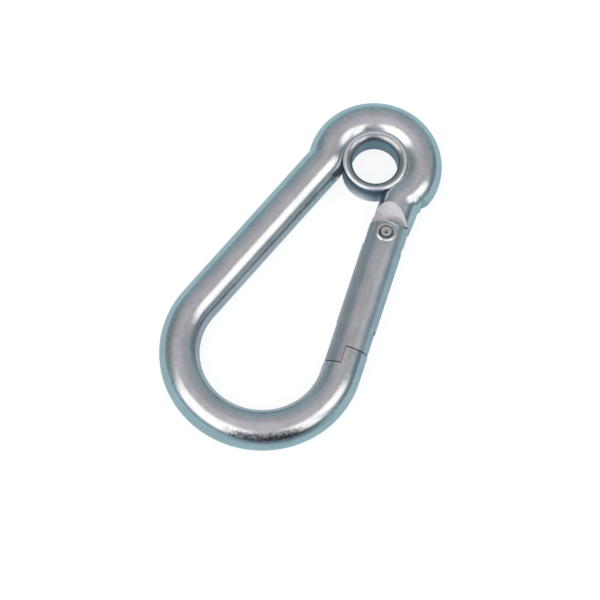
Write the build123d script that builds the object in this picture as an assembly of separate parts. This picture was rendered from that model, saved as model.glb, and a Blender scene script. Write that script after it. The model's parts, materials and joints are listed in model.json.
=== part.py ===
from build123d import *
from math import atan2, cos, degrees, pi, radians, sin, sqrt
import os

# Spring hook bent from round bar, with a round eyelet and a sprung gate.
# Row frame: origin at the centre of the eyelet bore, half way through the bar.
# +Z runs along the eyelet bore, +Y from the bow to the eyelet, +X to the gate.
# The gate station frame has "along" running down the gate line from the foot of
# the perpendicular dropped from the eyelet centre, and "across" pointing outward.

# ---- driving dimensions, mm and degrees ----
BAR_D = 10.0
BAR_R = BAR_D / 2
OVER = 1.0  # how far cutting shapes run past the metal
LENGTH = 100.0
LOOP_R = 11.8
TIGHT_R = 8.0
TIGHT_FROM = 4.0
KINK_LEFT_R = 5.15
KINK_RIGHT_R = 5.3
BACK_ANGLE = 10.8
BACK_OFFSET = 9.95
GATE_ANGLE = 11.45
GATE_OFFSET = 8.24
STUB_OFFSET = 0.6
CREASE_FROM = (4.85, 8.05)
CREASE_LOBE = (5.65, 6.95)
CREASE_AT = (6.1, 5.0)
CREASE_LIP = (6.7, 5.95)
CREASE_BELLY = (7.6, 6.0)
CREASE_TO = (8.4, 5.87)

EYE_BORE_R = 5.8
EYE_WAIST_R = 6.8
EYE_CREST_R = 7.35
EYE_LIP_R = 8.1
EYE_HALF_H = 4.0
EYE_LAND = 1.6
EYE_ROLL = 0.55
EYE_BELLY = (6.12, 3.28)
EYE_GAP = 0.05

HINGE_AT = 17.9
OPEN_ANGLE = 35.0
STUB_END = 14.9
RAMP_FOOT = 13.97
RAMP_SKEW = 28.0
RAMP_SLOPE = 0.98
SHOULDER_FROM = 10.0
TONGUE_HALF = 1.6
TONGUE_END = 19.4
TONGUE_IN = 4.55
TONGUE_OUT = 4.9
TONGUE_ROUND = 1.4
CAM_R = 4.2
CAM_OFFSET = 2.0

EAR_START = 15.1
EAR_CHAMFER = 0.25
EAR_SKEW = 5.0  # outer side of the joint is nearer the loop
HINGE_SLOT_HALF = 1.7
HINGE_SLOT_R = 5.9
SPRING_BORE_R = 2.1
SPRING_BORE_TO = 40.0
LATCH_SLOT_HALF = 1.55
LATCH_SLOT_FROM = 43.1
LAP_OUTER_R = 32.2
LAP_INNER_R = 36.75
LAP_STEP = -0.6
LAP_GAP = 0.27
STEP_GAP = 0.12

RIVET_R = 1.5
RIVET_HEAD_R = 2.6
RIVET_TOP = 4.8
RIVET_RING_R = 1.55
RIVET_RING_DEPTH = 0.36
RIVET_RING_HALF = 0.28
RIVET_CROWN = 0.1  # how far the rivet's rounded edge bulges
RIVET_RUNNING = 0.06
SINK_R = 2.95
SINK_DEPTH = 1.2
PUNCH_R = 0.55
PUNCH_DEPTH = 0.45

LATCH_PIN_R = 1.0
LATCH_PIN_AT = 47.5
LATCH_PIN_ACROSS = -1.0
CLAW_HALF = 1.3
CLAW_CLEAR = 0.3
CLAW_LIP = 2.0
CLAW_IN = -2.7
CLAW_OUT = 4.75

DOME_R = 1.5
PLUNGER_CLEAR = 0.1
COLLAR_FROM = 24.4
COLLAR_LEN = 1.2
COLLAR_R = 1.95
STEM_R = 1.0
STEM_TO = 30.4
WIRE_R = 0.3
COIL_R = 1.6
COIL_TURNS = 11
SPRING_SEAT = 0.02  # gap that keeps the spring's ends off their seats


def unit(angle):
    """Unit vector in the hook plane at an angle in degrees from +X."""
    return Vector(cos(radians(angle)), sin(radians(angle)), 0)


# outward normals and downward directions of the two straight legs
GATE_OUT = unit(GATE_ANGLE)
GATE_DOWN = unit(GATE_ANGLE - 90)
BACK_OUT = unit(180 - BACK_ANGLE)
BACK_DOWN = unit(270 - BACK_ANGLE)


def bow_radius():
    """Centreline radius of the bow that touches both legs and gives the length."""
    spread = sin(radians(GATE_ANGLE + BACK_ANGLE))
    slope = (cos(radians(GATE_ANGLE)) + cos(radians(BACK_ANGLE))) / spread
    reach = GATE_OFFSET * cos(radians(BACK_ANGLE)) + BACK_OFFSET * cos(radians(GATE_ANGLE))
    bottom = LENGTH - LOOP_R - BAR_R
    return (bottom - BAR_R + reach / spread) / (1 + slope)


def bow_centre(radius):
    """Point one bow radius inside both leg centrelines."""
    spread = sin(radians(GATE_ANGLE + BACK_ANGLE))
    gate = GATE_OFFSET - radius
    back = BACK_OFFSET - radius
    x = (gate * BACK_OUT.Y - back * GATE_OUT.Y) / spread
    y = (GATE_OUT.X * back - BACK_OUT.X * gate) / spread
    return Vector(x, y, 0)


BOW_R = bow_radius()
BOW_AT = bow_centre(BOW_R)


def gate_point(along, across, up=0.0):
    """Row-frame point for a station on the gate line."""
    flat = GATE_OUT * (GATE_OFFSET + across) + GATE_DOWN * along
    return Vector(flat.X, flat.Y, up)


def gate_plane(along=0.0, across=0.0):
    """Plane whose X runs down the gate line and whose Z is the row Z."""
    return Plane(origin=gate_point(along, across), x_dir=GATE_DOWN, z_dir=(0, 0, 1))


def axial_plane(along, across=0.0):
    """Plane square to the gate line, normal pointing down the line."""
    return Plane(origin=gate_point(along, across), x_dir=(0, 0, 1), z_dir=GATE_DOWN)


HINGE = gate_point(HINGE_AT, 0)


def prism(sketch, half):
    """Sketch thickened the same amount to both sides of its plane."""
    return extrude(sketch, amount=half, both=True)


def station_box(a0, a1, c0, c1, z0, z1):
    """Box given by its along, across and height limits."""
    block = Box(a1 - a0, c1 - c0, z1 - z0, align=(Align.MIN, Align.MIN, Align.MIN))
    return gate_plane() * Pos(a0, c0, z0) * block


def station_rod(radius, a0, a1, across=0.0):
    """Round bar along the gate line between two stations."""
    return extrude(axial_plane(a0, across) * Circle(radius), amount=a1 - a0)


def skew_block(along, align):
    """Block on one side of the skewed plane where the stub and the ears meet."""
    downhill = unit(GATE_ANGLE - 90 + EAR_SKEW)
    plane = Plane(origin=gate_point(along, 0), x_dir=downhill, z_dir=(0, 0, 1))
    return plane * Box(BAR_D, 2 * BAR_D, 2 * BAR_D, align=(align, Align.CENTER, Align.CENTER))


def cam_centre():
    """Cam centre from the hinge, square to the gate at the middle of its swing."""
    mid = radians(OPEN_ANGLE / 2)
    return HINGE_AT - CAM_OFFSET * sin(mid), -CAM_OFFSET * cos(mid)


def tip_station():
    """Station of the plunger dome centre with the gate closed."""
    x = radians(-OPEN_ANGLE / 2)
    reach = sqrt((CAM_R + DOME_R) ** 2 - (CAM_OFFSET * cos(x)) ** 2)
    return HINGE_AT + CAM_OFFSET * sin(x) + reach + PLUNGER_CLEAR


def arc_between(centre, radius, start, turn):
    """Arc about a centre, from a start angle through a signed turn in degrees."""
    points = [centre + unit(start + turn * k / 2) * radius for k in range(3)]
    return ThreePointArc(*points)


def heading(vector):
    """Angle of a vector in degrees."""
    return degrees(atan2(vector.Y, vector.X))


def right_kink():
    """Centres of the tightened end of the loop and of the bend beside the hinge."""
    tight = unit(TIGHT_FROM) * (LOOP_R - TIGHT_R)
    offset = GATE_OFFSET + STUB_OFFSET + KINK_RIGHT_R
    span = TIGHT_R + KINK_RIGHT_R
    normal = tight.dot(GATE_OUT)
    down = tight.dot(GATE_DOWN) + sqrt(span ** 2 - (offset - normal) ** 2)
    return tight, GATE_OUT * offset + GATE_DOWN * down, down


def left_kink():
    """Centre of the bend between the loop and the back leg."""
    offset = BACK_OFFSET + KINK_LEFT_R
    down = sqrt((LOOP_R + KINK_LEFT_R) ** 2 - offset ** 2)
    return BACK_OUT * offset + BACK_DOWN * down, down


def bar_path():
    """Centreline of the bar from the hinge stub round the loop to the nose."""
    tight, kink_r, down_r = right_kink()
    kink_l, down_l = left_kink()
    stub_end = gate_point(STUB_END + OVER, STUB_OFFSET)
    stub = Line(stub_end, gate_point(down_r, STUB_OFFSET))
    to_tight = heading(tight - kink_r)
    bend_r = arc_between(kink_r, KINK_RIGHT_R, GATE_ANGLE + 180, to_tight - GATE_ANGLE - 180)
    join = to_tight - 180
    tail = arc_between(tight, TIGHT_R, join, TIGHT_FROM - join)
    loop_end = heading(kink_l) % 360
    loop = arc_between(Vector(0, 0, 0), LOOP_R, TIGHT_FROM, loop_end - TIGHT_FROM)
    bend_l = arc_between(kink_l, KINK_LEFT_R, loop_end - 180, -(loop_end - 180 + BACK_ANGLE))
    back = Line(BACK_OUT * BACK_OFFSET + BACK_DOWN * down_l, BOW_AT + BACK_OUT * BOW_R)
    bow = arc_between(BOW_AT, BOW_R, 180 - BACK_ANGLE, 180 + BACK_ANGLE + GATE_ANGLE)
    nose = Line(BOW_AT + GATE_OUT * BOW_R, gate_point(HINGE_AT + LAP_OUTER_R - 2 * OVER, 0))
    return [stub, bend_r, tail, loop, bend_l, back, bow, nose]


def swept_bar():
    """Round bar along the whole centreline."""
    path = Wire(bar_path())
    start = Plane(origin=path @ 0, z_dir=path % 0)
    return sweep(start * Circle(BAR_R), path=path)


def eyelet_outline():
    """Half profile of the eyelet, radius against height."""
    groove_z = sqrt((LOOP_R - EYE_WAIST_R + EYE_GAP) ** 2 - (LOOP_R - EYE_LIP_R) ** 2)
    groove = ThreePointArc((EYE_LIP_R, groove_z), (EYE_WAIST_R - EYE_GAP, 0), (EYE_LIP_R, -groove_z))
    return groove, groove_z


def make_eyelet():
    """Spool-shaped eyelet: round bore, flared mouths and rolled lips."""
    groove, groove_z = eyelet_outline()
    flat = EYE_LIP_R - EYE_ROLL
    mid_roll = EYE_ROLL * (1 - cos(pi / 4))
    edges = [groove]
    for side in (1, -1):
        corner = (EYE_LIP_R - mid_roll, side * (EYE_HALF_H - mid_roll))
        low = (EYE_LIP_R, side * (EYE_HALF_H - EYE_ROLL))
        top = (flat, side * EYE_HALF_H)
        edges.append(Line((EYE_LIP_R, side * groove_z), low))
        edges.append(ThreePointArc(low, corner, top))
        crest = (EYE_CREST_R, side * EYE_HALF_H)
        edges.append(Line(top, crest))
        belly = (EYE_BELLY[0], side * EYE_BELLY[1])
        edges.append(ThreePointArc(crest, belly, (EYE_BORE_R, side * EYE_LAND)))
    edges.append(Line((EYE_BORE_R, EYE_LAND), (EYE_BORE_R, -EYE_LAND)))
    loop = Wire.combine(edges)[0]
    return revolve(Plane.XZ * make_face(loop.edges()), axis=Axis.Z)


def eyelet_seat():
    """Space taken by the eyelet, filled to its axis."""
    groove, groove_z = eyelet_outline()
    top = EYE_HALF_H + OVER
    edges = [
        groove,
        Line((EYE_LIP_R, groove_z), (EYE_LIP_R, top)),
        Line((EYE_LIP_R, top), (0, top)),
        Line((0, top), (0, -top)),
        Line((0, -top), (EYE_LIP_R, -top)),
        Line((EYE_LIP_R, -top), (EYE_LIP_R, -groove_z)),
    ]
    return revolve(Plane.XZ * make_face(edges), axis=Axis.Z)


def ramp_cutter(side):
    """Material milled off one face of the hinge stub: a skewed ramp, then a flat."""
    high = BAR_R + OVER
    far = HINGE_AT + CAM_R + BAR_R - RAMP_FOOT
    points = [
        ((TONGUE_HALF - high) / RAMP_SLOPE, side * high),
        (0, side * TONGUE_HALF),
        (far, side * TONGUE_HALF),
        (far, side * high),
    ]
    across = unit(GATE_ANGLE - RAMP_SKEW)
    downhill = unit(GATE_ANGLE - RAMP_SKEW - 90)
    side_plane = Plane(origin=gate_point(RAMP_FOOT, 0), x_dir=downhill, z_dir=-across)
    return prism(side_plane * make_face(Polyline(*points, close=True)), BAR_D)


def crease():
    """Fold in the outer side of the bar where it is bent back beside the loop."""
    far = CREASE_FROM[1] + OVER
    edges = [
        ThreePointArc(CREASE_FROM, CREASE_LOBE, CREASE_AT),
        Line(CREASE_AT, CREASE_LIP),
        ThreePointArc(CREASE_LIP, CREASE_BELLY, CREASE_TO),
        Line(CREASE_TO, (CREASE_TO[0], far)),
        Line((CREASE_TO[0], far), (CREASE_FROM[0], far)),
        Line((CREASE_FROM[0], far), CREASE_FROM),
    ]
    return prism(gate_plane() * make_face(edges), BAR_R)


def shoulder():
    """Taper that brings the outer side of the stub down to the tongue."""
    high = STUB_OFFSET + BAR_R
    end = STUB_END + OVER
    points = [(SHOULDER_FROM, high), (end, TONGUE_OUT), (end, high + OVER), (SHOULDER_FROM, high + OVER)]
    return prism(gate_plane() * make_face(Polyline(*points, close=True)), BAR_R)


def tongue():
    """Flat tongue with a round corner and an eccentric cam that drives the plunger."""
    a0 = STUB_END - OVER
    width = TONGUE_IN + TONGUE_OUT
    mid = (TONGUE_OUT - TONGUE_IN) / 2
    plate = Pos((a0 + TONGUE_END) / 2, mid) * Rectangle(TONGUE_END - a0, width)
    corners = plate.vertices().sort_by(Axis.X)[-2:]
    plate = fillet(corners, TONGUE_ROUND)
    ca, cc = cam_centre()
    band = Pos(ca + CAM_R / 2, mid) * Rectangle(2 * CAM_R, width)
    cam = (Pos(ca, cc) * Circle(CAM_R)) & band
    body = prism(gate_plane() * (plate + cam), TONGUE_HALF)
    hole = prism(gate_plane(HINGE_AT, 0) * Circle(RIVET_R + RIVET_RUNNING), BAR_R)
    return body, hole


def across_band(low, high):
    """Strip beyond the hinge between two across values, in the hinge frame."""
    return Pos(LAP_INNER_R, (low + high) / 2) * Rectangle(LAP_INNER_R + BAR_D, high - low)


def claw():
    """Blade on the nose whose lip reaches inward over the latch pin."""
    frame = gate_plane(HINGE_AT, 0)
    pin = Pos(LATCH_PIN_AT - HINGE_AT, LATCH_PIN_ACROSS)
    pin_r = sqrt((LATCH_PIN_AT - HINGE_AT) ** 2 + LATCH_PIN_ACROSS ** 2)
    room = LATCH_PIN_R + CLAW_CLEAR
    foot = LAP_OUTER_R + LAP_GAP + OVER
    blade = Circle(foot) - Circle(pin_r - room - CLAW_LIP)
    blade = blade & across_band(CLAW_IN, CLAW_OUT)
    notch = (Circle(pin_r + room) - Circle(pin_r - room)) & across_band(-BAR_D, LATCH_PIN_ACROSS)
    step = (Circle(foot + OVER) - Circle(pin_r + room)) & across_band(-BAR_D, LAP_STEP + STEP_GAP)
    blade = blade - notch - pin * Circle(room) - step
    return prism(frame * blade, CLAW_HALF)


def nose_cutter():
    """Stepped arcs about the hinge axis that free the gate from the nose."""
    short = Circle(LAP_OUTER_R + LAP_GAP) - Circle(LAP_OUTER_R - 4 * OVER)
    wide = Circle(LAP_INNER_R + LAP_GAP) - Circle(LAP_OUTER_R - 4 * OVER)
    inner = wide & across_band(-BAR_D, LAP_STEP + STEP_GAP)
    outer = short & across_band(-BAR_D, BAR_D)
    return prism(gate_plane(HINGE_AT, 0) * (inner + outer), BAR_R + OVER)


def make_hook_body():
    """Bent bar with the milled tongue at one end and the claw at the other."""
    bar = swept_bar() - eyelet_seat() - skew_block(STUB_END, Align.MIN)
    plate, hole = tongue()
    body = bar + plate
    for side in (1, -1):
        body = body - ramp_cutter(side)
    body = body - hole - nose_cutter() - crease() - shoulder()
    return body + claw()


def lap_limit():
    """Region of the gate side of the stepped joint, seen along the hinge axis."""
    near = EAR_START - OVER - HINGE_AT
    reach = LAP_INNER_R + BAR_D
    middle = (near + reach) / 2
    window = Pos(middle, 0) * Rectangle(reach - near, BAR_D + 2 * OVER)
    lower = Pos(middle, LAP_STEP - BAR_D / 2) * Rectangle(reach - near, BAR_D)
    outline = (Circle(LAP_OUTER_R) & window) + (Circle(LAP_INNER_R) & lower)
    return prism(gate_plane(HINGE_AT, 0) * outline, BAR_R + OVER)


def make_gate():
    """Round bar gate, slotted at both ends and bored for the spring."""
    bar = station_rod(BAR_R, EAR_START - OVER, HINGE_AT + LAP_INNER_R + OVER)
    bar = bar - skew_block(EAR_START, Align.MAX)
    bar = chamfer(bar.edges().filter_by(GeomType.ELLIPSE), EAR_CHAMFER)
    gate = bar & lap_limit()
    wide = BAR_R + OVER
    hinge_slot = station_box(EAR_START - 2 * OVER, HINGE_AT, -wide, wide, -HINGE_SLOT_HALF, HINGE_SLOT_HALF)
    hinge_slot = hinge_slot + prism(gate_plane(HINGE_AT, 0) * Circle(HINGE_SLOT_R), HINGE_SLOT_HALF)
    latch_end = HINGE_AT + LAP_INNER_R + 2 * OVER
    latch_slot = station_box(LATCH_SLOT_FROM, latch_end, -wide, wide, -LATCH_SLOT_HALF, LATCH_SLOT_HALF)
    bore = station_rod(SPRING_BORE_R, EAR_START - OVER, SPRING_BORE_TO)
    gate = gate - hinge_slot - latch_slot - bore
    gate = gate - prism(gate_plane(HINGE_AT, 0) * Circle(RIVET_R), wide)
    gate = gate - prism(gate_plane(LATCH_PIN_AT, LATCH_PIN_ACROSS) * Circle(LATCH_PIN_R), wide)
    return gate - sink(1) - sink(-1)


def sink(side):
    """Countersink round the rivet on one face of the gate."""
    base = BAR_R - SINK_DEPTH
    slope = (SINK_R - RIVET_R) / SINK_DEPTH
    over = 0.5
    points = [
        (0, side * base),
        (RIVET_R, side * base),
        (SINK_R + slope * over, side * (BAR_R + over)),
        (0, side * (BAR_R + over)),
    ]
    cone = revolve(Plane.XZ * make_face(Polyline(*points, close=True)), axis=Axis.Z)
    return Pos(HINGE) * cone


def make_hinge_pin():
    """Rivet whose ends are ring-staked and centre-punched in their countersinks."""
    base = BAR_R - SINK_DEPTH
    slope = (SINK_R - RIVET_R) / SINK_DEPTH
    spread = base + (RIVET_HEAD_R - RIVET_R) / slope
    pit = RIVET_TOP - PUNCH_DEPTH
    groove = RIVET_TOP - RIVET_RING_DEPTH
    inner_r = RIVET_RING_R - RIVET_RING_HALF
    outer_r = RIVET_RING_R + RIVET_RING_HALF
    crown_r = (outer_r + RIVET_HEAD_R) / 2
    crown_z = (RIVET_TOP + spread) / 2 + RIVET_CROWN
    edges = [Line((0, pit), (0, -pit))]
    for side in (1, -1):
        lip = (PUNCH_R, side * RIVET_TOP)
        inner = (inner_r, side * RIVET_TOP)
        bottom = (RIVET_RING_R, side * groove)
        outer = (outer_r, side * RIVET_TOP)
        edge = (RIVET_HEAD_R, side * spread)
        edges.append(ThreePointArc((0, side * pit), (PUNCH_R / 2, side * (pit + PUNCH_DEPTH / 4)), lip))
        edges.append(Line(lip, inner))
        edges.append(Line(inner, bottom))
        edges.append(Line(bottom, outer))
        edges.append(ThreePointArc(outer, (crown_r, side * crown_z), edge))
        edges.append(Line(edge, (RIVET_R, side * base)))
    edges.append(Line((RIVET_R, base), (RIVET_R, -base)))
    return Pos(HINGE) * revolve(Plane.XZ * make_face(edges), axis=Axis.Z)


def make_latch_pin():
    """Cross pin ground flush with the round of the gate."""
    pin = prism(gate_plane(LATCH_PIN_AT, LATCH_PIN_ACROSS) * Circle(LATCH_PIN_R), BAR_R)
    return pin & station_rod(BAR_R, LATCH_PIN_AT - 3 * LATCH_PIN_R, LATCH_PIN_AT + 3 * LATCH_PIN_R)


def make_plunger():
    """Domed plunger with a collar for the spring and a guide stem."""
    tip = tip_station()
    dome_mid = DOME_R * sqrt(0.5)
    edges = [
        ThreePointArc((0, tip - DOME_R), (dome_mid, tip - dome_mid), (DOME_R, tip)),
        Line((DOME_R, tip), (DOME_R, COLLAR_FROM)),
        Line((DOME_R, COLLAR_FROM), (COLLAR_R, COLLAR_FROM)),
        Line((COLLAR_R, COLLAR_FROM), (COLLAR_R, COLLAR_FROM + COLLAR_LEN)),
        Line((COLLAR_R, COLLAR_FROM + COLLAR_LEN), (STEM_R, COLLAR_FROM + COLLAR_LEN)),
        Line((STEM_R, COLLAR_FROM + COLLAR_LEN), (STEM_R, STEM_TO)),
        Line((STEM_R, STEM_TO), (0, STEM_TO)),
        Line((0, STEM_TO), (0, tip - DOME_R)),
    ]
    turned = revolve(Plane.XZ * make_face(edges), axis=Axis.Z)
    return axial_plane(0).location * turned


def make_spring():
    """Compression spring between the plunger collar and the bottom of the bore."""
    start = COLLAR_FROM + COLLAR_LEN + WIRE_R + SPRING_SEAT
    height = SPRING_BORE_TO - WIRE_R - SPRING_SEAT - start
    coil = Helix(pitch=height / COIL_TURNS, height=height, radius=COIL_R)
    section = Plane(origin=coil @ 0, z_dir=coil % 0) * Circle(WIRE_R)
    wound = sweep(section, path=coil, is_frenet=True)
    return axial_plane(start).location * wound


os.makedirs("parts", exist_ok=True)
export_step(make_hook_body(), "parts/hook_body.step")
export_step(make_eyelet(), "parts/eyelet.step")
export_step(make_gate(), "parts/gate.step")
export_step(make_hinge_pin(), "parts/hinge_pin.step")
export_step(make_latch_pin(), "parts/latch_pin.step")
export_step(make_plunger(), "parts/plunger.step")
export_step(make_spring(), "parts/spring.step")
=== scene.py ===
import bpy
import json
import math
from mathutils import Matrix, Vector


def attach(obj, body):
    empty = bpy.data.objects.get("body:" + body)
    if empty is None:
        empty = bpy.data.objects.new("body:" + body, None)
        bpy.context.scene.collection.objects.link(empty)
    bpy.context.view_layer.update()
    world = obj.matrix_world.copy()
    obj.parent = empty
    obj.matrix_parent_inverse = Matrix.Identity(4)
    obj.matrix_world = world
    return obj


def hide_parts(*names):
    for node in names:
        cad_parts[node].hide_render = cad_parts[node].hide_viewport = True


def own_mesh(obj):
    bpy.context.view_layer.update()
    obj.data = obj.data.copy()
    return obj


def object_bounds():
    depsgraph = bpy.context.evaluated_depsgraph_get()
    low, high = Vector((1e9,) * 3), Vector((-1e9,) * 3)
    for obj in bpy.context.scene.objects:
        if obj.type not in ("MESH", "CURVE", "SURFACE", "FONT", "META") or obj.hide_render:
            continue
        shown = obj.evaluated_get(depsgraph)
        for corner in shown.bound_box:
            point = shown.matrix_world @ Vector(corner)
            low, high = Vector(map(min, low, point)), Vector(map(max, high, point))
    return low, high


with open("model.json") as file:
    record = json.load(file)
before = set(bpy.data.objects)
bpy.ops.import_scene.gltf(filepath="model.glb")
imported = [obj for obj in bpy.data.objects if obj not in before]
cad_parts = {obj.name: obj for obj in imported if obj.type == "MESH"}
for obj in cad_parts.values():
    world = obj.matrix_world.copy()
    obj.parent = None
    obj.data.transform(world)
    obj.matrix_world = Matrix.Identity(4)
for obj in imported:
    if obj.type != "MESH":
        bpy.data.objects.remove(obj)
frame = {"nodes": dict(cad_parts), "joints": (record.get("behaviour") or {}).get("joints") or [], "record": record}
START_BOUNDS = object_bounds()
SCENE = bpy.context.scene

# ---- where things are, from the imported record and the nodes, in metres ----
RECORD = frame["record"]
MOUNTS = {m["name"]: m for m in RECORD["mounts"]}
JOINTS = {j["name"]: j for j in frame["joints"]}
EYE = Vector(MOUNTS["eyelet_bore"]["pos_m"])
HINGE = Vector(JOINTS["gate_hinge"]["pos_m"])
GATE_DOWN = Vector(JOINTS["plunger_slide"]["axis"]).normalized()
GATE_OUT = Vector((-GATE_DOWN.y, GATE_DOWN.x, 0))
LOW, HIGH = START_BOUNDS
BAR_R = (HIGH.z - LOW.z) / 2

# ---- sizes of the parts that the looks and the spring follow, in metres ----
# the milled ramp: how far behind the hinge its foot lies, its skew and slope,
# half the tongue's thickness, and the depth within which a face counts as milled
RAMP_BACK = 0.00393
RAMP_SKEW = math.radians(28)
RAMP_SLOPE = 0.98
TONGUE_HALF = 0.0016
SKIN = 0.00006
# where the milled faces lie along the gate, from the hinge, and across it
MILLED_FROM = -0.0085
MILLED_TO = 0.0055
MILLED_HALF = 0.0070
# painted shade darkens the milled faces towards the inside of the hook: by how
# much, and across which stretch
MILLED_SHADE = 0.6
MILLED_SHADE_FADE = (-0.0002, -0.0040)
# the rivet's end: its radius, how far its marks wander, and, as shares of the
# radius, where the painted shade of the staked ring fades in and out and where
# the painted highlight on the rim begins
RIVET_HEAD_R = 0.0026
RIVET_WANDER = 0.0007
RING_IN = (0.47, 0.56)
RING_OUT = (0.74, 0.66)
RIM_HIGHLIGHT_IN = (0.74, 0.80)
# the eyelet: the radii and heights between which its painted shade fades in on the
# wall, the funnel and the waist outside it, and the heights over which the waist
# turns from a painted highlight on its lower flare to painted shade under the lip
WALL_R = (0.0066, 0.0062)
WALL_TOP = (0.0034, 0.0027)
FUNNEL_R = (0.00745, 0.0071)
FUNNEL_FOOT = (0.0, 0.001)
WAIST_R = (0.00635, 0.0066)
WAIST_TOP = (0.0030, 0.0026)
WAIST_RISE = (-0.0036, -0.0012)
# the return spring: wire and coil radii, mesh steps round the wire and round
# each turn, turns in all, closed at an end and opening, the pitches
WIRE_R = 0.0003
COIL_R = 0.0016
WIRE_SIDES = 12
SPRING_STEPS = 32
SPRING_TURNS = 12
CLOSED_TURNS = 0.8
OPENING_TURNS = 0.7
SPRING_PITCH = 0.0014
CLOSED_PITCH = 2.05 * WIRE_R
# the bow: its centre is one outer radius up from the bottom of the hook
BOW_OUT_R = MOUNTS["bow_seat"]["pos_m"][0] - LOW.x
BOW = Vector((LOW.x + BOW_OUT_R, LOW.y + BOW_OUT_R, 0))
# the dark mottled patch at the bottom of the bow: its radius, the cosines between
# which it fades in and out, and how far from that radius it has gone and is still whole
MOTTLE_R = BOW_OUT_R - BAR_R + 0.0032
MOTTLE_IN = (0.04, 0.22)
MOTTLE_OUT = (0.90, 0.72)
MOTTLE_WIDTH = (0.0012, 0.0003)

# ---- camera, floor and room ----
# the camera: turns in degrees, lens, distance, and the aim from the eyelet
VIEW_TURN = -23.716
VIEW_TIP = -21.729
VIEW_ROLL = -5.308
VIEW_LENS = 357.15
VIEW_DISTANCE = 1.49
VIEW_RIGHT = -0.01871
VIEW_UP = -0.03346
# the floor: half its side, its gap below the hook, and its own light as the
# camera sees it and as the steel reflects it
FLOOR_HALF = 3.0
FLOOR_GAP = 0.0002
FLOOR_SEEN = 0.82
FLOOR_LIFT = 0.16
# the floor's darker patch and the paper inside the hook: where, and the radii
# between which each one fades
DARK_AT = (0.095, -0.150)
DARK_FADE = (0.110, 0.050)
DARK_SHARE = 0.85
INSIDE_AT = (0.0, -0.045)
INSIDE_FADE = (0.016, 0.040)
# the room: colour at each height from the horizon, 0.5, to straight up, 1
ROOM = (
    (0.50, (0.34, 0.47, 0.52)),
    (0.63, (0.32, 0.44, 0.48)),
    (0.75, (0.37, 0.48, 0.52)),
    (0.85, (0.46, 0.50, 0.53)),
    (0.93, (0.52, 0.52, 0.54)),
    (0.98, (0.59, 0.59, 0.62)),
)
# patches of the room: azimuth, elevation, outer and inner angle, share, colour
PATCHES = (
    (-46, 2, 46, 12, 0.87, (0.07, 0.06, 0.08, 1)),
    (38, 4, 34, 8, 0.6, (0.13, 0.17, 0.22, 1)),
    (-178, 20, 34, 6, 0.6, (0.22, 0.26, 0.26, 1)),
    (-105, 62, 58, 14, 0.5, (0.90, 0.88, 0.95, 1)),
)
# panels of light, one in front and two at the side: azimuth, elevation, half
# width and half height as tangents, feather
PANELS = (
    (-115, 43, 0.51, 0.45, 0.16),
    (-15, 42, 0.18, 0.38, 0.12),
    (15, 46, 0.22, 0.33, 0.14),
)
PANEL_LIGHT = (1.72, 1.70, 1.68, 1)


# ---- camera: three-quarter view from above, long lens ----
def add_camera():
    turn = Matrix.Rotation(math.radians(VIEW_TURN), 3, "Z")
    tip = Matrix.Rotation(math.radians(VIEW_TIP), 3, "X")
    roll = Matrix.Rotation(math.radians(VIEW_ROLL), 3, "Z")
    axes = roll @ tip @ turn
    right, up, back = axes[0], axes[1], axes[2]
    camera = bpy.data.objects.new("camera", bpy.data.cameras.new("camera"))
    camera.data.lens = VIEW_LENS
    camera.data.sensor_width = 36
    camera.data.clip_start = 0.05
    camera.data.clip_end = 50
    camera.matrix_world = Matrix(
        (
            (right.x, up.x, back.x, 0),
            (right.y, up.y, back.y, 0),
            (right.z, up.z, back.z, 0),
            (0, 0, 0, 1),
        )
    )
    camera.location = EYE + right * VIEW_RIGHT + up * VIEW_UP + back * VIEW_DISTANCE
    SCENE.collection.objects.link(camera)
    SCENE.camera = camera


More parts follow.
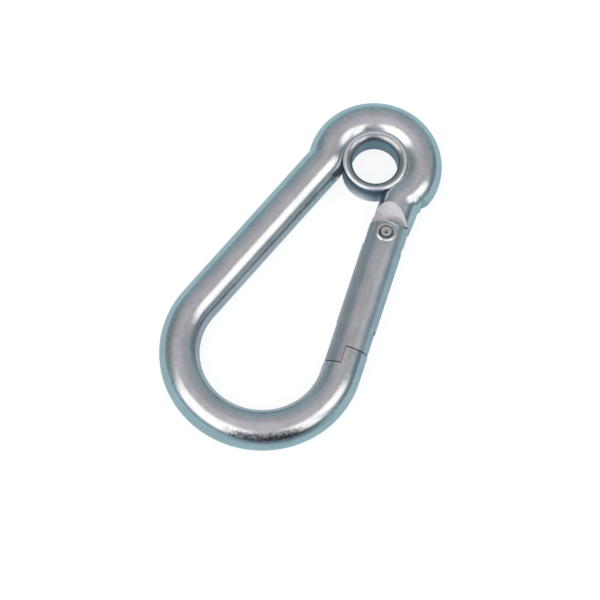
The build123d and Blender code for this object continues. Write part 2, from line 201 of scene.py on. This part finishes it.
# ---- small node helpers ----
class Nodes:
    """Builds a material or world tree with short calls."""

    def __init__(self, tree):
        self.tree = tree
        tree.nodes.clear()

    def add(self, kind, links=None, **settings):
        node = self.tree.nodes.new(kind)
        for key, value in settings.items():
            setattr(node, key, value)
        for key, value in (links or {}).items():
            self.put(node.inputs[key], value)
        return node

    def put(self, socket, value):
        if isinstance(value, bpy.types.NodeSocket):
            self.tree.links.new(value, socket)
        else:
            socket.default_value = value

    def math(self, operation, a, b=0.0):
        return self.add("ShaderNodeMath", {0: a, 1: b}, operation=operation).outputs[0]

    def vector(self, operation, a, b=(0, 0, 0)):
        node = self.add("ShaderNodeVectorMath", {0: a, 1: b}, operation=operation)
        return node.outputs["Value"] if operation == "DOT_PRODUCT" else node.outputs[0]

    def noise(self, at, scale, detail=4.0, rough=0.55):
        links = {"Vector": at, "Scale": scale, "Detail": detail, "Roughness": rough}
        return self.add("ShaderNodeTexNoise", links).outputs["Fac"]

    def length(self, vector):
        return self.add("ShaderNodeVectorMath", {0: vector}, operation="LENGTH").outputs["Value"]

    def flat_length(self, x, y):
        """Length of a vector given by two of its parts."""
        return self.length(self.add("ShaderNodeCombineXYZ", {0: x, 1: y}).outputs[0])

    def product(self, *factors):
        """All the factors multiplied together."""
        total = factors[0]
        for factor in factors[1:]:
            total = self.math("MULTIPLY", total, factor)
        return total

    def ramp(self, value, stops):
        node = self.add("ShaderNodeValToRGB", {"Fac": value})
        elements = node.color_ramp.elements
        while len(elements) < len(stops):
            elements.new(0.5)
        for element, (place, colour) in zip(elements, stops):
            element.position = place
            grey = isinstance(colour, (int, float))
            element.color = (colour, colour, colour, 1) if grey else (*colour, 1)
        return node.outputs["Color"]

    def step(self, value, low, high):
        """Smooth 0 to 1 as the value goes from low to high, whichever is larger."""
        flip = low > high
        links = {"Value": value, "From Min": min(low, high), "From Max": max(low, high)}
        links["To Min"] = 1.0 if flip else 0.0
        links["To Max"] = 0.0 if flip else 1.0
        return self.add("ShaderNodeMapRange", links, interpolation_type="SMOOTHSTEP").outputs[0]

    def mix(self, share, a, b):
        node = self.tree.nodes.new("ShaderNodeMix")
        node.data_type = "RGBA"
        for index, value in ((0, share), (6, a), (7, b)):
            self.put(node.inputs[index], value)
        return node.outputs[2]

    def multiply(self, a, b, share=1.0):
        """One colour darkened by another."""
        node = self.add("ShaderNodeMix", blend_type="MULTIPLY", data_type="RGBA")
        node.inputs[0].default_value = share
        self.put(node.inputs[6], a)
        self.put(node.inputs[7], b)
        return node.outputs[2]

    def bump(self, height, strength, distance, normal=None):
        links = {"Height": height, "Strength": strength, "Distance": distance}
        if normal is not None:
            links["Normal"] = normal
        return self.add("ShaderNodeBump", links).outputs["Normal"]


def steel(name):
    """Empty metal material: returns it with its node builder and shader."""
    material = bpy.data.materials.new(name)
    material.use_nodes = True
    nodes = Nodes(material.node_tree)
    shader = nodes.add("ShaderNodeBsdfPrincipled", {"Metallic": 1.0})
    out = nodes.add("ShaderNodeOutputMaterial", {"Surface": shader.outputs["BSDF"]})
    out.location = (400, 0)
    at = nodes.add("ShaderNodeTexCoord").outputs["Object"]
    return material, nodes, shader, at


def gate_coordinates(nodes, at):
    """Along, across and height in the gate's own directions, from the hinge."""
    moved = nodes.vector("SUBTRACT", at, tuple(HINGE))
    along = nodes.vector("DOT_PRODUCT", moved, tuple(GATE_DOWN))
    across = nodes.vector("DOT_PRODUCT", moved, tuple(GATE_OUT))
    height = nodes.vector("DOT_PRODUCT", moved, (0, 0, 1))
    return along, across, height


def polished_bar():
    """Tumbled and polished bar with a dark mottled patch at the bottom of the bow, and a milled, duller ramp
    beside the hinge that painted shade greys towards the inside of the hook.
    """
    material, nodes, shader, at = steel("polished_bar")
    cloud = nodes.noise(at, 150, 3)
    smear = nodes.noise(at, 700, 6, 0.65)
    fine = nodes.noise(at, 5200, 3, 0.7)
    tint = nodes.ramp(cloud, [(0.3, (0.57, 0.575, 0.585)), (0.7, (0.66, 0.66, 0.67))])
    speck = nodes.ramp(smear, [(0.32, 0.84), (0.5, 1.0)])
    colour = nodes.multiply(tint, speck, 0.7)
    milled = milled_ramp(nodes, at)
    marks = nodes.noise(at, 2400, 4)
    bright = nodes.ramp(marks, [(0.3, (0.68, 0.635, 0.675)), (0.7, (0.80, 0.75, 0.79))])
    across = gate_coordinates(nodes, at)[1]
    # painted shade: the milled faces greyed towards the inside of the hook
    inner = nodes.math("MULTIPLY", nodes.step(across, *MILLED_SHADE_FADE), MILLED_SHADE)
    bright = nodes.mix(inner, bright, (0.46, 0.44, 0.45, 1))
    # a dark mottled patch on the bow's outer shoulder
    dark_mottle = bow_dark_mottle(nodes, at)
    colour = nodes.mix(dark_mottle, colour, (0.18, 0.145, 0.155, 1))
    nodes.put(shader.inputs["Base Color"], nodes.mix(milled, colour, bright))
    shine = nodes.math("SUBTRACT", 1.0, nodes.math("MULTIPLY", milled, 0.6))
    nodes.put(shader.inputs["Metallic"], shine)
    polish = nodes.ramp(smear, [(0.3, 0.11), (0.7, 0.20)])
    nodes.put(shader.inputs["Roughness"], nodes.mix(milled, polish, (0.36, 0.36, 0.36, 1)))
    wave = nodes.bump(smear, 0.25, 0.00005)
    nodes.put(shader.inputs["Normal"], nodes.bump(fine, 0.2, 0.00001, wave))
    return material


def bow_dark_mottle(nodes, at):
    """Dark mottled patch along the outer shoulder at the bottom of the bow."""
    moved = nodes.vector("SUBTRACT", at, tuple(BOW))
    split = nodes.add("ShaderNodeSeparateXYZ", {0: moved})
    x, y, height = split.outputs["X"], split.outputs["Y"], split.outputs["Z"]
    radius = nodes.flat_length(x, y)
    side = nodes.math("DIVIDE", x, radius)
    fade_in = nodes.step(side, *MOTTLE_IN)
    fade_out = nodes.step(side, *MOTTLE_OUT)
    below = nodes.math("LESS_THAN", y, 0.0)
    upper = nodes.math("GREATER_THAN", height, 0.0)
    away = nodes.math("ABSOLUTE", nodes.math("SUBTRACT", radius, MOTTLE_R))
    band = nodes.step(away, *MOTTLE_WIDTH)
    fleck = nodes.step(nodes.noise(at, 1100, 5, 0.7), 0.40, 0.58)
    return nodes.product(fade_in, fade_out, below, upper, band, fleck)


def milled_ramp(nodes, at):
    """1 on the flat faces milled beside the hinge, 0 on the rest of the bar."""
    along, across, height = gate_coordinates(nodes, at)
    tall = nodes.math("ABSOLUTE", height)
    forward = nodes.math("MULTIPLY", nodes.math("ADD", along, RAMP_BACK), math.cos(RAMP_SKEW))
    sideways = nodes.math("MULTIPLY", across, math.sin(RAMP_SKEW))
    downhill = nodes.math("SUBTRACT", forward, sideways)
    fall = nodes.math("MULTIPLY", downhill, RAMP_SLOPE)
    ramp = nodes.math("GREATER_THAN", nodes.math("ADD", tall, fall), TONGUE_HALF - SKIN)
    cheek = nodes.math("COMPARE", tall, TONGUE_HALF)
    cheek.node.inputs[2].default_value = SKIN
    uphill = nodes.math("LESS_THAN", downhill, 0.0)
    slope = nodes.math("MULTIPLY", ramp, uphill)
    face = nodes.math("MAXIMUM", slope, cheek)
    after = nodes.math("GREATER_THAN", along, MILLED_FROM)
    before = nodes.math("LESS_THAN", along, MILLED_TO)
    near = nodes.math("LESS_THAN", nodes.math("ABSOLUTE", across), MILLED_HALF)
    return nodes.product(face, after, before, near)


def pressed_eyelet():
    """Bright rolled lips; duller wall and waist where no tool polishes, painted shade on the wall, the funnel and
    the waist under the lip, and a painted highlight on the lower flare.
    """
    material, nodes, shader, at = steel("pressed_eyelet")
    cloud = nodes.noise(at, 260, 4)
    stretched = nodes.vector("MULTIPLY", at, (1, 1, 9))
    lines = nodes.noise(stretched, 900, 4, 0.6)
    split = nodes.add("ShaderNodeSeparateXYZ", {0: at})
    radius = nodes.flat_length(split.outputs["X"], split.outputs["Y"])
    height = split.outputs["Z"]
    tint = nodes.ramp(cloud, [(0.3, (0.80, 0.80, 0.83)), (0.7, (0.92, 0.92, 0.95))])
    deep = nodes.step(height, *WALL_TOP)
    bore = nodes.math("MULTIPLY", nodes.step(radius, *WALL_R), deep)
    above = nodes.step(height, *FUNNEL_FOOT)
    funnel = nodes.math("MULTIPLY", nodes.step(radius, *FUNNEL_R), above)
    # painted shade on the bore's wall
    bore_shade = nodes.ramp(cloud, [(0.3, (0.36, 0.385, 0.435)), (0.7, (0.46, 0.49, 0.545))])
    # painted shade in the funnel
    painted_shade_and_highlight = nodes.ramp(lines, [(0.3, (0.36, 0.36, 0.365)), (0.7, (0.50, 0.50, 0.51))])
    tint = nodes.mix(funnel, tint, painted_shade_and_highlight)
    tint = nodes.mix(bore, tint, bore_shade)
    outside = nodes.step(radius, *WAIST_R)
    waist = nodes.math("MULTIPLY", outside, nodes.step(height, *WAIST_TOP))
    rise = nodes.step(height, *WAIST_RISE)
    # painted highlight on the lower flare, painted shade in the waist under the lip
    waist_shade_and_highlight = nodes.mix(rise, (0.86, 0.84, 0.92, 1), (0.17, 0.18, 0.21, 1))
    tint = nodes.mix(waist, tint, waist_shade_and_highlight)
    nodes.put(shader.inputs["Base Color"], tint)
    polish = nodes.ramp(lines, [(0.3, 0.12), (0.7, 0.22)])
    dull = nodes.math("MAXIMUM", bore, waist)
    nodes.put(shader.inputs["Roughness"], nodes.mix(dull, polish, (0.38, 0.38, 0.38, 1)))
    nodes.put(shader.inputs["Normal"], nodes.bump(lines, 0.2, 0.00002))
    return material


def turned_gate():
    """Drawn bar with fine grain along the gate, softer than the hook's polish."""
    material, nodes, shader, at = steel("turned_gate")
    along, across, height = gate_coordinates(nodes, at)
    place = nodes.add(
        "ShaderNodeCombineXYZ",
        {0: nodes.math("MULTIPLY", along, 0.04), 1: across, 2: height},
    ).outputs[0]
    grain = nodes.noise(place, 4200, 5, 0.65)
    broad = nodes.noise(place, 900, 3)
    cloud = nodes.noise(at, 300, 4)
    tint = nodes.ramp(cloud, [(0.3, (0.565, 0.565, 0.575)), (0.7, (0.65, 0.645, 0.66))])
    lines = nodes.ramp(grain, [(0.3, 0.74), (0.60, 1.0)])
    nodes.put(shader.inputs["Base Color"], nodes.multiply(tint, lines))
    nodes.put(shader.inputs["Roughness"], nodes.ramp(broad, [(0.3, 0.26), (0.7, 0.38)]))
    nodes.put(shader.inputs["Normal"], nodes.bump(grain, 0.25, 0.00002))
    return material


def peened_rivet():
    """Ring-staked rivet end: painted shade in the punch mark and the ring, deeper on the lower side, lighter lands
    between, and painted highlights on the lower rim.
    """
    material, nodes, shader, at = steel("peened_rivet")
    along, across = gate_coordinates(nodes, at)[:2]
    radius = nodes.flat_length(along, across)
    fine = nodes.noise(at, 2600, 4)
    sway = nodes.math("SUBTRACT", nodes.noise(at, 900, 2), 0.5)
    wander = nodes.math("MULTIPLY", sway, RIVET_WANDER)
    reach = nodes.math("DIVIDE", nodes.math("ADD", radius, wander), RIVET_HEAD_R)
    # painted shade in the punch mark, then the lands
    punch_shade_and_lands = nodes.ramp(
        reach,
        [
            (0.12, (0.10, 0.11, 0.12)),
            (0.22, (0.66, 0.67, 0.66)),
            (0.50, (0.58, 0.585, 0.58)),
            (0.72, (0.56, 0.56, 0.56)),
        ],
    )
    down = nodes.math("DIVIDE", along, radius)
    lower = nodes.step(down, -0.5, 0.5)
    # painted shade in the staked ring, deeper on the lower side
    groove = nodes.product(nodes.step(reach, *RING_IN), nodes.step(reach, *RING_OUT))
    depth = nodes.math("ADD", nodes.math("MULTIPLY", lower, 0.45), 0.35)
    ring_shade = nodes.math("MULTIPLY", groove, depth)
    tint = nodes.mix(ring_shade, punch_shade_and_lands, (0.15, 0.165, 0.16, 1))
    # painted highlight: bright crescents on the lower rim, either side of the middle
    aside = nodes.math("ABSOLUTE", nodes.math("DIVIDE", across, radius))
    facing = nodes.step(down, 0.45, 0.75)
    highlight_sides = nodes.step(aside, 0.06, 0.22)
    painted_shade_and_highlight = nodes.product(facing, highlight_sides, nodes.step(reach, *RIM_HIGHLIGHT_IN))
    tint = nodes.mix(painted_shade_and_highlight, tint, (0.95, 0.95, 0.93, 1))
    speck = nodes.ramp(fine, [(0.35, 0.78), (0.55, 1.0)])
    nodes.put(shader.inputs["Base Color"], nodes.multiply(tint, speck))
    nodes.put(shader.inputs["Roughness"], nodes.ramp(fine, [(0.3, 0.26), (0.7, 0.38)]))
    nodes.put(shader.inputs["Normal"], nodes.bump(fine, 0.25, 0.00002))
    return material


def turned_pin():
    """Small turned part with tool rings square to the gate."""
    material, nodes, shader, at = steel("turned_pin")
    along, across, height = gate_coordinates(nodes, at)
    squeezed = [nodes.math("MULTIPLY", part, 0.05) for part in (across, height)]
    place = nodes.add("ShaderNodeCombineXYZ", {0: along, 1: squeezed[0], 2: squeezed[1]}).outputs[0]
    rings = nodes.noise(place, 6000, 3)
    tint = nodes.ramp(rings, [(0.3, (0.46, 0.45, 0.46)), (0.7, (0.58, 0.57, 0.58))])
    nodes.put(shader.inputs["Base Color"], tint)
    nodes.put(shader.inputs["Roughness"], nodes.ramp(rings, [(0.3, 0.24), (0.7, 0.36)]))
    nodes.put(shader.inputs["Normal"], nodes.bump(rings, 0.3, 0.00002))
    return material


def spring_wire():
    """Drawn spring wire, a little darker than the turned parts."""
    material, nodes, shader, at = steel("spring_wire")
    mottle = nodes.noise(at, 3200, 4, 0.6)
    tint = nodes.ramp(mottle, [(0.3, (0.36, 0.35, 0.36)), (0.7, (0.50, 0.49, 0.50))])
    nodes.put(shader.inputs["Base Color"], tint)
    nodes.put(shader.inputs["Roughness"], nodes.ramp(mottle, [(0.3, 0.25), (0.7, 0.4)]))
    nodes.put(shader.inputs["Normal"], nodes.bump(mottle, 0.2, 0.00001))
    return material


def dress(node, material):
    """A carried-over node gets a material."""
    shown = frame["nodes"][node]
    shown.data.materials.clear()
    shown.data.materials.append(material)


# ---- the return spring, wound in mesh code ----
def coil_pitch(turn):
    """Pitch of the coil at one turn: closed at both ends, open between."""
    reach = min(turn, SPRING_TURNS - turn)
    share = min(max((reach - CLOSED_TURNS) / OPENING_TURNS, 0.0), 1.0)
    share = share * share * (3 - 2 * share)
    return CLOSED_PITCH + (SPRING_PITCH - CLOSED_PITCH) * share


def add_spring():
    """Compression spring with closed ends in the gate's bore, behind the plunger."""
    node = frame["nodes"]["spring"]
    reach = [v.co.dot(GATE_DOWN) for v in node.data.vertices]
    first, last = min(reach), max(reach)
    # the point of the gate's own axis from which reach is measured
    foot = HINGE - GATE_DOWN * HINGE.dot(GATE_DOWN)
    steps = SPRING_TURNS * SPRING_STEPS
    rise = [0.0]
    for k in range(steps):
        rise.append(rise[-1] + coil_pitch((k + 0.5) / SPRING_STEPS) / SPRING_STEPS)
    fit = (last - first - 2 * WIRE_R) / rise[-1]
    verts, faces = [], []
    for k in range(steps + 1):
        angle = 2 * math.pi * k / SPRING_STEPS
        radial = Vector((0, 0, 1)) * math.cos(angle) + GATE_OUT * math.sin(angle)
        middle = foot + GATE_DOWN * (first + WIRE_R + rise[k] * fit) + radial * COIL_R
        for j in range(WIRE_SIDES):
            round_angle = 2 * math.pi * j / WIRE_SIDES
            offset = radial * math.cos(round_angle) + GATE_DOWN * math.sin(round_angle)
            verts.append(middle + offset * WIRE_R)
    for k in range(steps):
        for j in range(WIRE_SIDES):
            a = k * WIRE_SIDES + j
            b = k * WIRE_SIDES + (j + 1) % WIRE_SIDES
            faces.append((a, b, b + WIRE_SIDES, a + WIRE_SIDES))
    faces.append(tuple(reversed(range(WIRE_SIDES))))
    faces.append(tuple(range(steps * WIRE_SIDES, (steps + 1) * WIRE_SIDES)))
    mesh = bpy.data.meshes.new("return_spring")
    mesh.from_pydata(verts, [], faces)
    mesh.polygons.foreach_set("use_smooth", [True] * len(mesh.polygons))
    mesh.materials.append(spring_wire())
    spring = bpy.data.objects.new("return_spring", mesh)
    SCENE.collection.objects.link(spring)
    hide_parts("spring")
    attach(spring, "latch")
    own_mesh(spring)


# ---- surroundings ----
def compass(azimuth, elevation):
    """Unit vector from a compass angle in degrees and a height above the horizon."""
    flat = math.cos(math.radians(elevation))
    x = flat * math.cos(math.radians(azimuth))
    y = flat * math.sin(math.radians(azimuth))
    return Vector((x, y, math.sin(math.radians(elevation))))


def soft_panel(nodes, direction, azimuth, elevation, wide, tall, feather):
    """Feathered rectangular panel of light, sized by tangents of its half angles."""
    middle = compass(azimuth, elevation)
    side = Vector((0, 0, 1)).cross(middle).normalized()
    rise = middle.cross(side)
    depth = nodes.vector("DOT_PRODUCT", direction, tuple(middle))
    share = nodes.step(depth, 0.0, 0.1)
    for axis, half in ((side, wide), (rise, tall)):
        offset = nodes.math("DIVIDE", nodes.vector("DOT_PRODUCT", direction, tuple(axis)), depth)
        edge = nodes.step(nodes.math("ABSOLUTE", offset), half + feather, half - feather)
        share = nodes.math("MULTIPLY", share, edge)
    return share


def glow_spot(nodes, direction, azimuth, elevation, outer, inner):
    """Round soft patch of the room between two angles from its middle."""
    depth = nodes.vector("DOT_PRODUCT", direction, tuple(compass(azimuth, elevation)))
    return nodes.step(depth, math.cos(math.radians(outer)), math.cos(math.radians(inner)))


def add_world():
    """Pale studio: grey overhead, blue-green near the table, three soft panels."""
    world = bpy.data.worlds.new("studio")
    SCENE.world = world
    world.use_nodes = True
    nodes = Nodes(world.node_tree)
    direction = nodes.add("ShaderNodeTexCoord").outputs["Generated"]
    rise = nodes.add("ShaderNodeSeparateXYZ", {0: direction}).outputs["Z"]
    share = nodes.math("ADD", nodes.math("MULTIPLY", rise, 0.5), 0.5)
    room = nodes.ramp(share, ROOM)
    for azimuth, elevation, outer, inner, strength, colour in PATCHES:
        spot = glow_spot(nodes, direction, azimuth, elevation, outer, inner)
        room = nodes.mix(nodes.math("MULTIPLY", spot, strength), room, colour)
    front, low_side, high_side = [soft_panel(nodes, direction, *panel) for panel in PANELS]
    side = nodes.math("MAXIMUM", low_side, high_side)
    lit = nodes.mix(nodes.math("MAXIMUM", front, side), room, PANEL_LIGHT)
    back = nodes.add("ShaderNodeBackground", {"Color": lit, "Strength": 1.0})
    nodes.add("ShaderNodeOutputWorld", {"Surface": back.outputs[0]})


def add_floor():
    """Pale floor just under the hook: white to the eye, pale blue in the steel."""
    mesh = bpy.data.meshes.new("floor")
    drop = LOW.z - FLOOR_GAP
    signs = ((-1, -1), (1, -1), (1, 1), (-1, 1))
    corners = [(x * FLOOR_HALF, y * FLOOR_HALF, drop) for x, y in signs]
    mesh.from_pydata(corners, [], [(0, 1, 2, 3)])
    floor = bpy.data.objects.new("floor", mesh)
    SCENE.collection.objects.link(floor)
    material = bpy.data.materials.new("floor")
    material.use_nodes = True
    nodes = Nodes(material.node_tree)
    ray = nodes.add("ShaderNodeLightPath")
    white = nodes.add("ShaderNodeBsdfDiffuse", {"Color": (0.30, 0.30, 0.30, 1)})
    glow = nodes.add("ShaderNodeEmission", {"Color": (1, 1, 1, 1), "Strength": FLOOR_SEEN})
    seen = nodes.add("ShaderNodeAddShader", {0: white.outputs[0], 1: glow.outputs[0]})
    at = nodes.add("ShaderNodeTexCoord").outputs["Object"]
    reach = nodes.length(nodes.vector("SUBTRACT", at, (*DARK_AT, drop)))
    shade = nodes.math("MULTIPLY", nodes.step(reach, *DARK_FADE), DARK_SHARE)
    spread = nodes.length(nodes.vector("SUBTRACT", at, (*INSIDE_AT, drop)))
    open_floor = nodes.step(spread, *INSIDE_FADE)
    blue = nodes.mix(open_floor, (0.53, 0.64, 0.70, 1), (0.49, 0.71, 0.77, 1))
    tint = nodes.mix(shade, blue, (0.10, 0.10, 0.13, 1))
    paper = nodes.add("ShaderNodeBsdfDiffuse", {"Color": tint})
    lift = nodes.add("ShaderNodeEmission", {"Color": tint, "Strength": FLOOR_LIFT})
    mirrored = nodes.add("ShaderNodeAddShader", {0: paper.outputs[0], 1: lift.outputs[0]})
    both = nodes.add(
        "ShaderNodeMixShader",
        {0: ray.outputs["Is Camera Ray"], 1: mirrored.outputs[0], 2: seen.outputs[0]},
    )
    nodes.add("ShaderNodeOutputMaterial", {"Surface": both.outputs[0]})
    mesh.materials.append(material)


add_camera()
dress("hook_body", polished_bar())
dress("eyelet", pressed_eyelet())
gate_steel = turned_gate()
dress("gate", gate_steel)
dress("hinge_pin", peened_rivet())
dress("latch_pin", gate_steel)
dress("plunger", turned_pin())
add_spring()
add_world()
add_floor()
SCENE.view_settings.view_transform = "Standard"
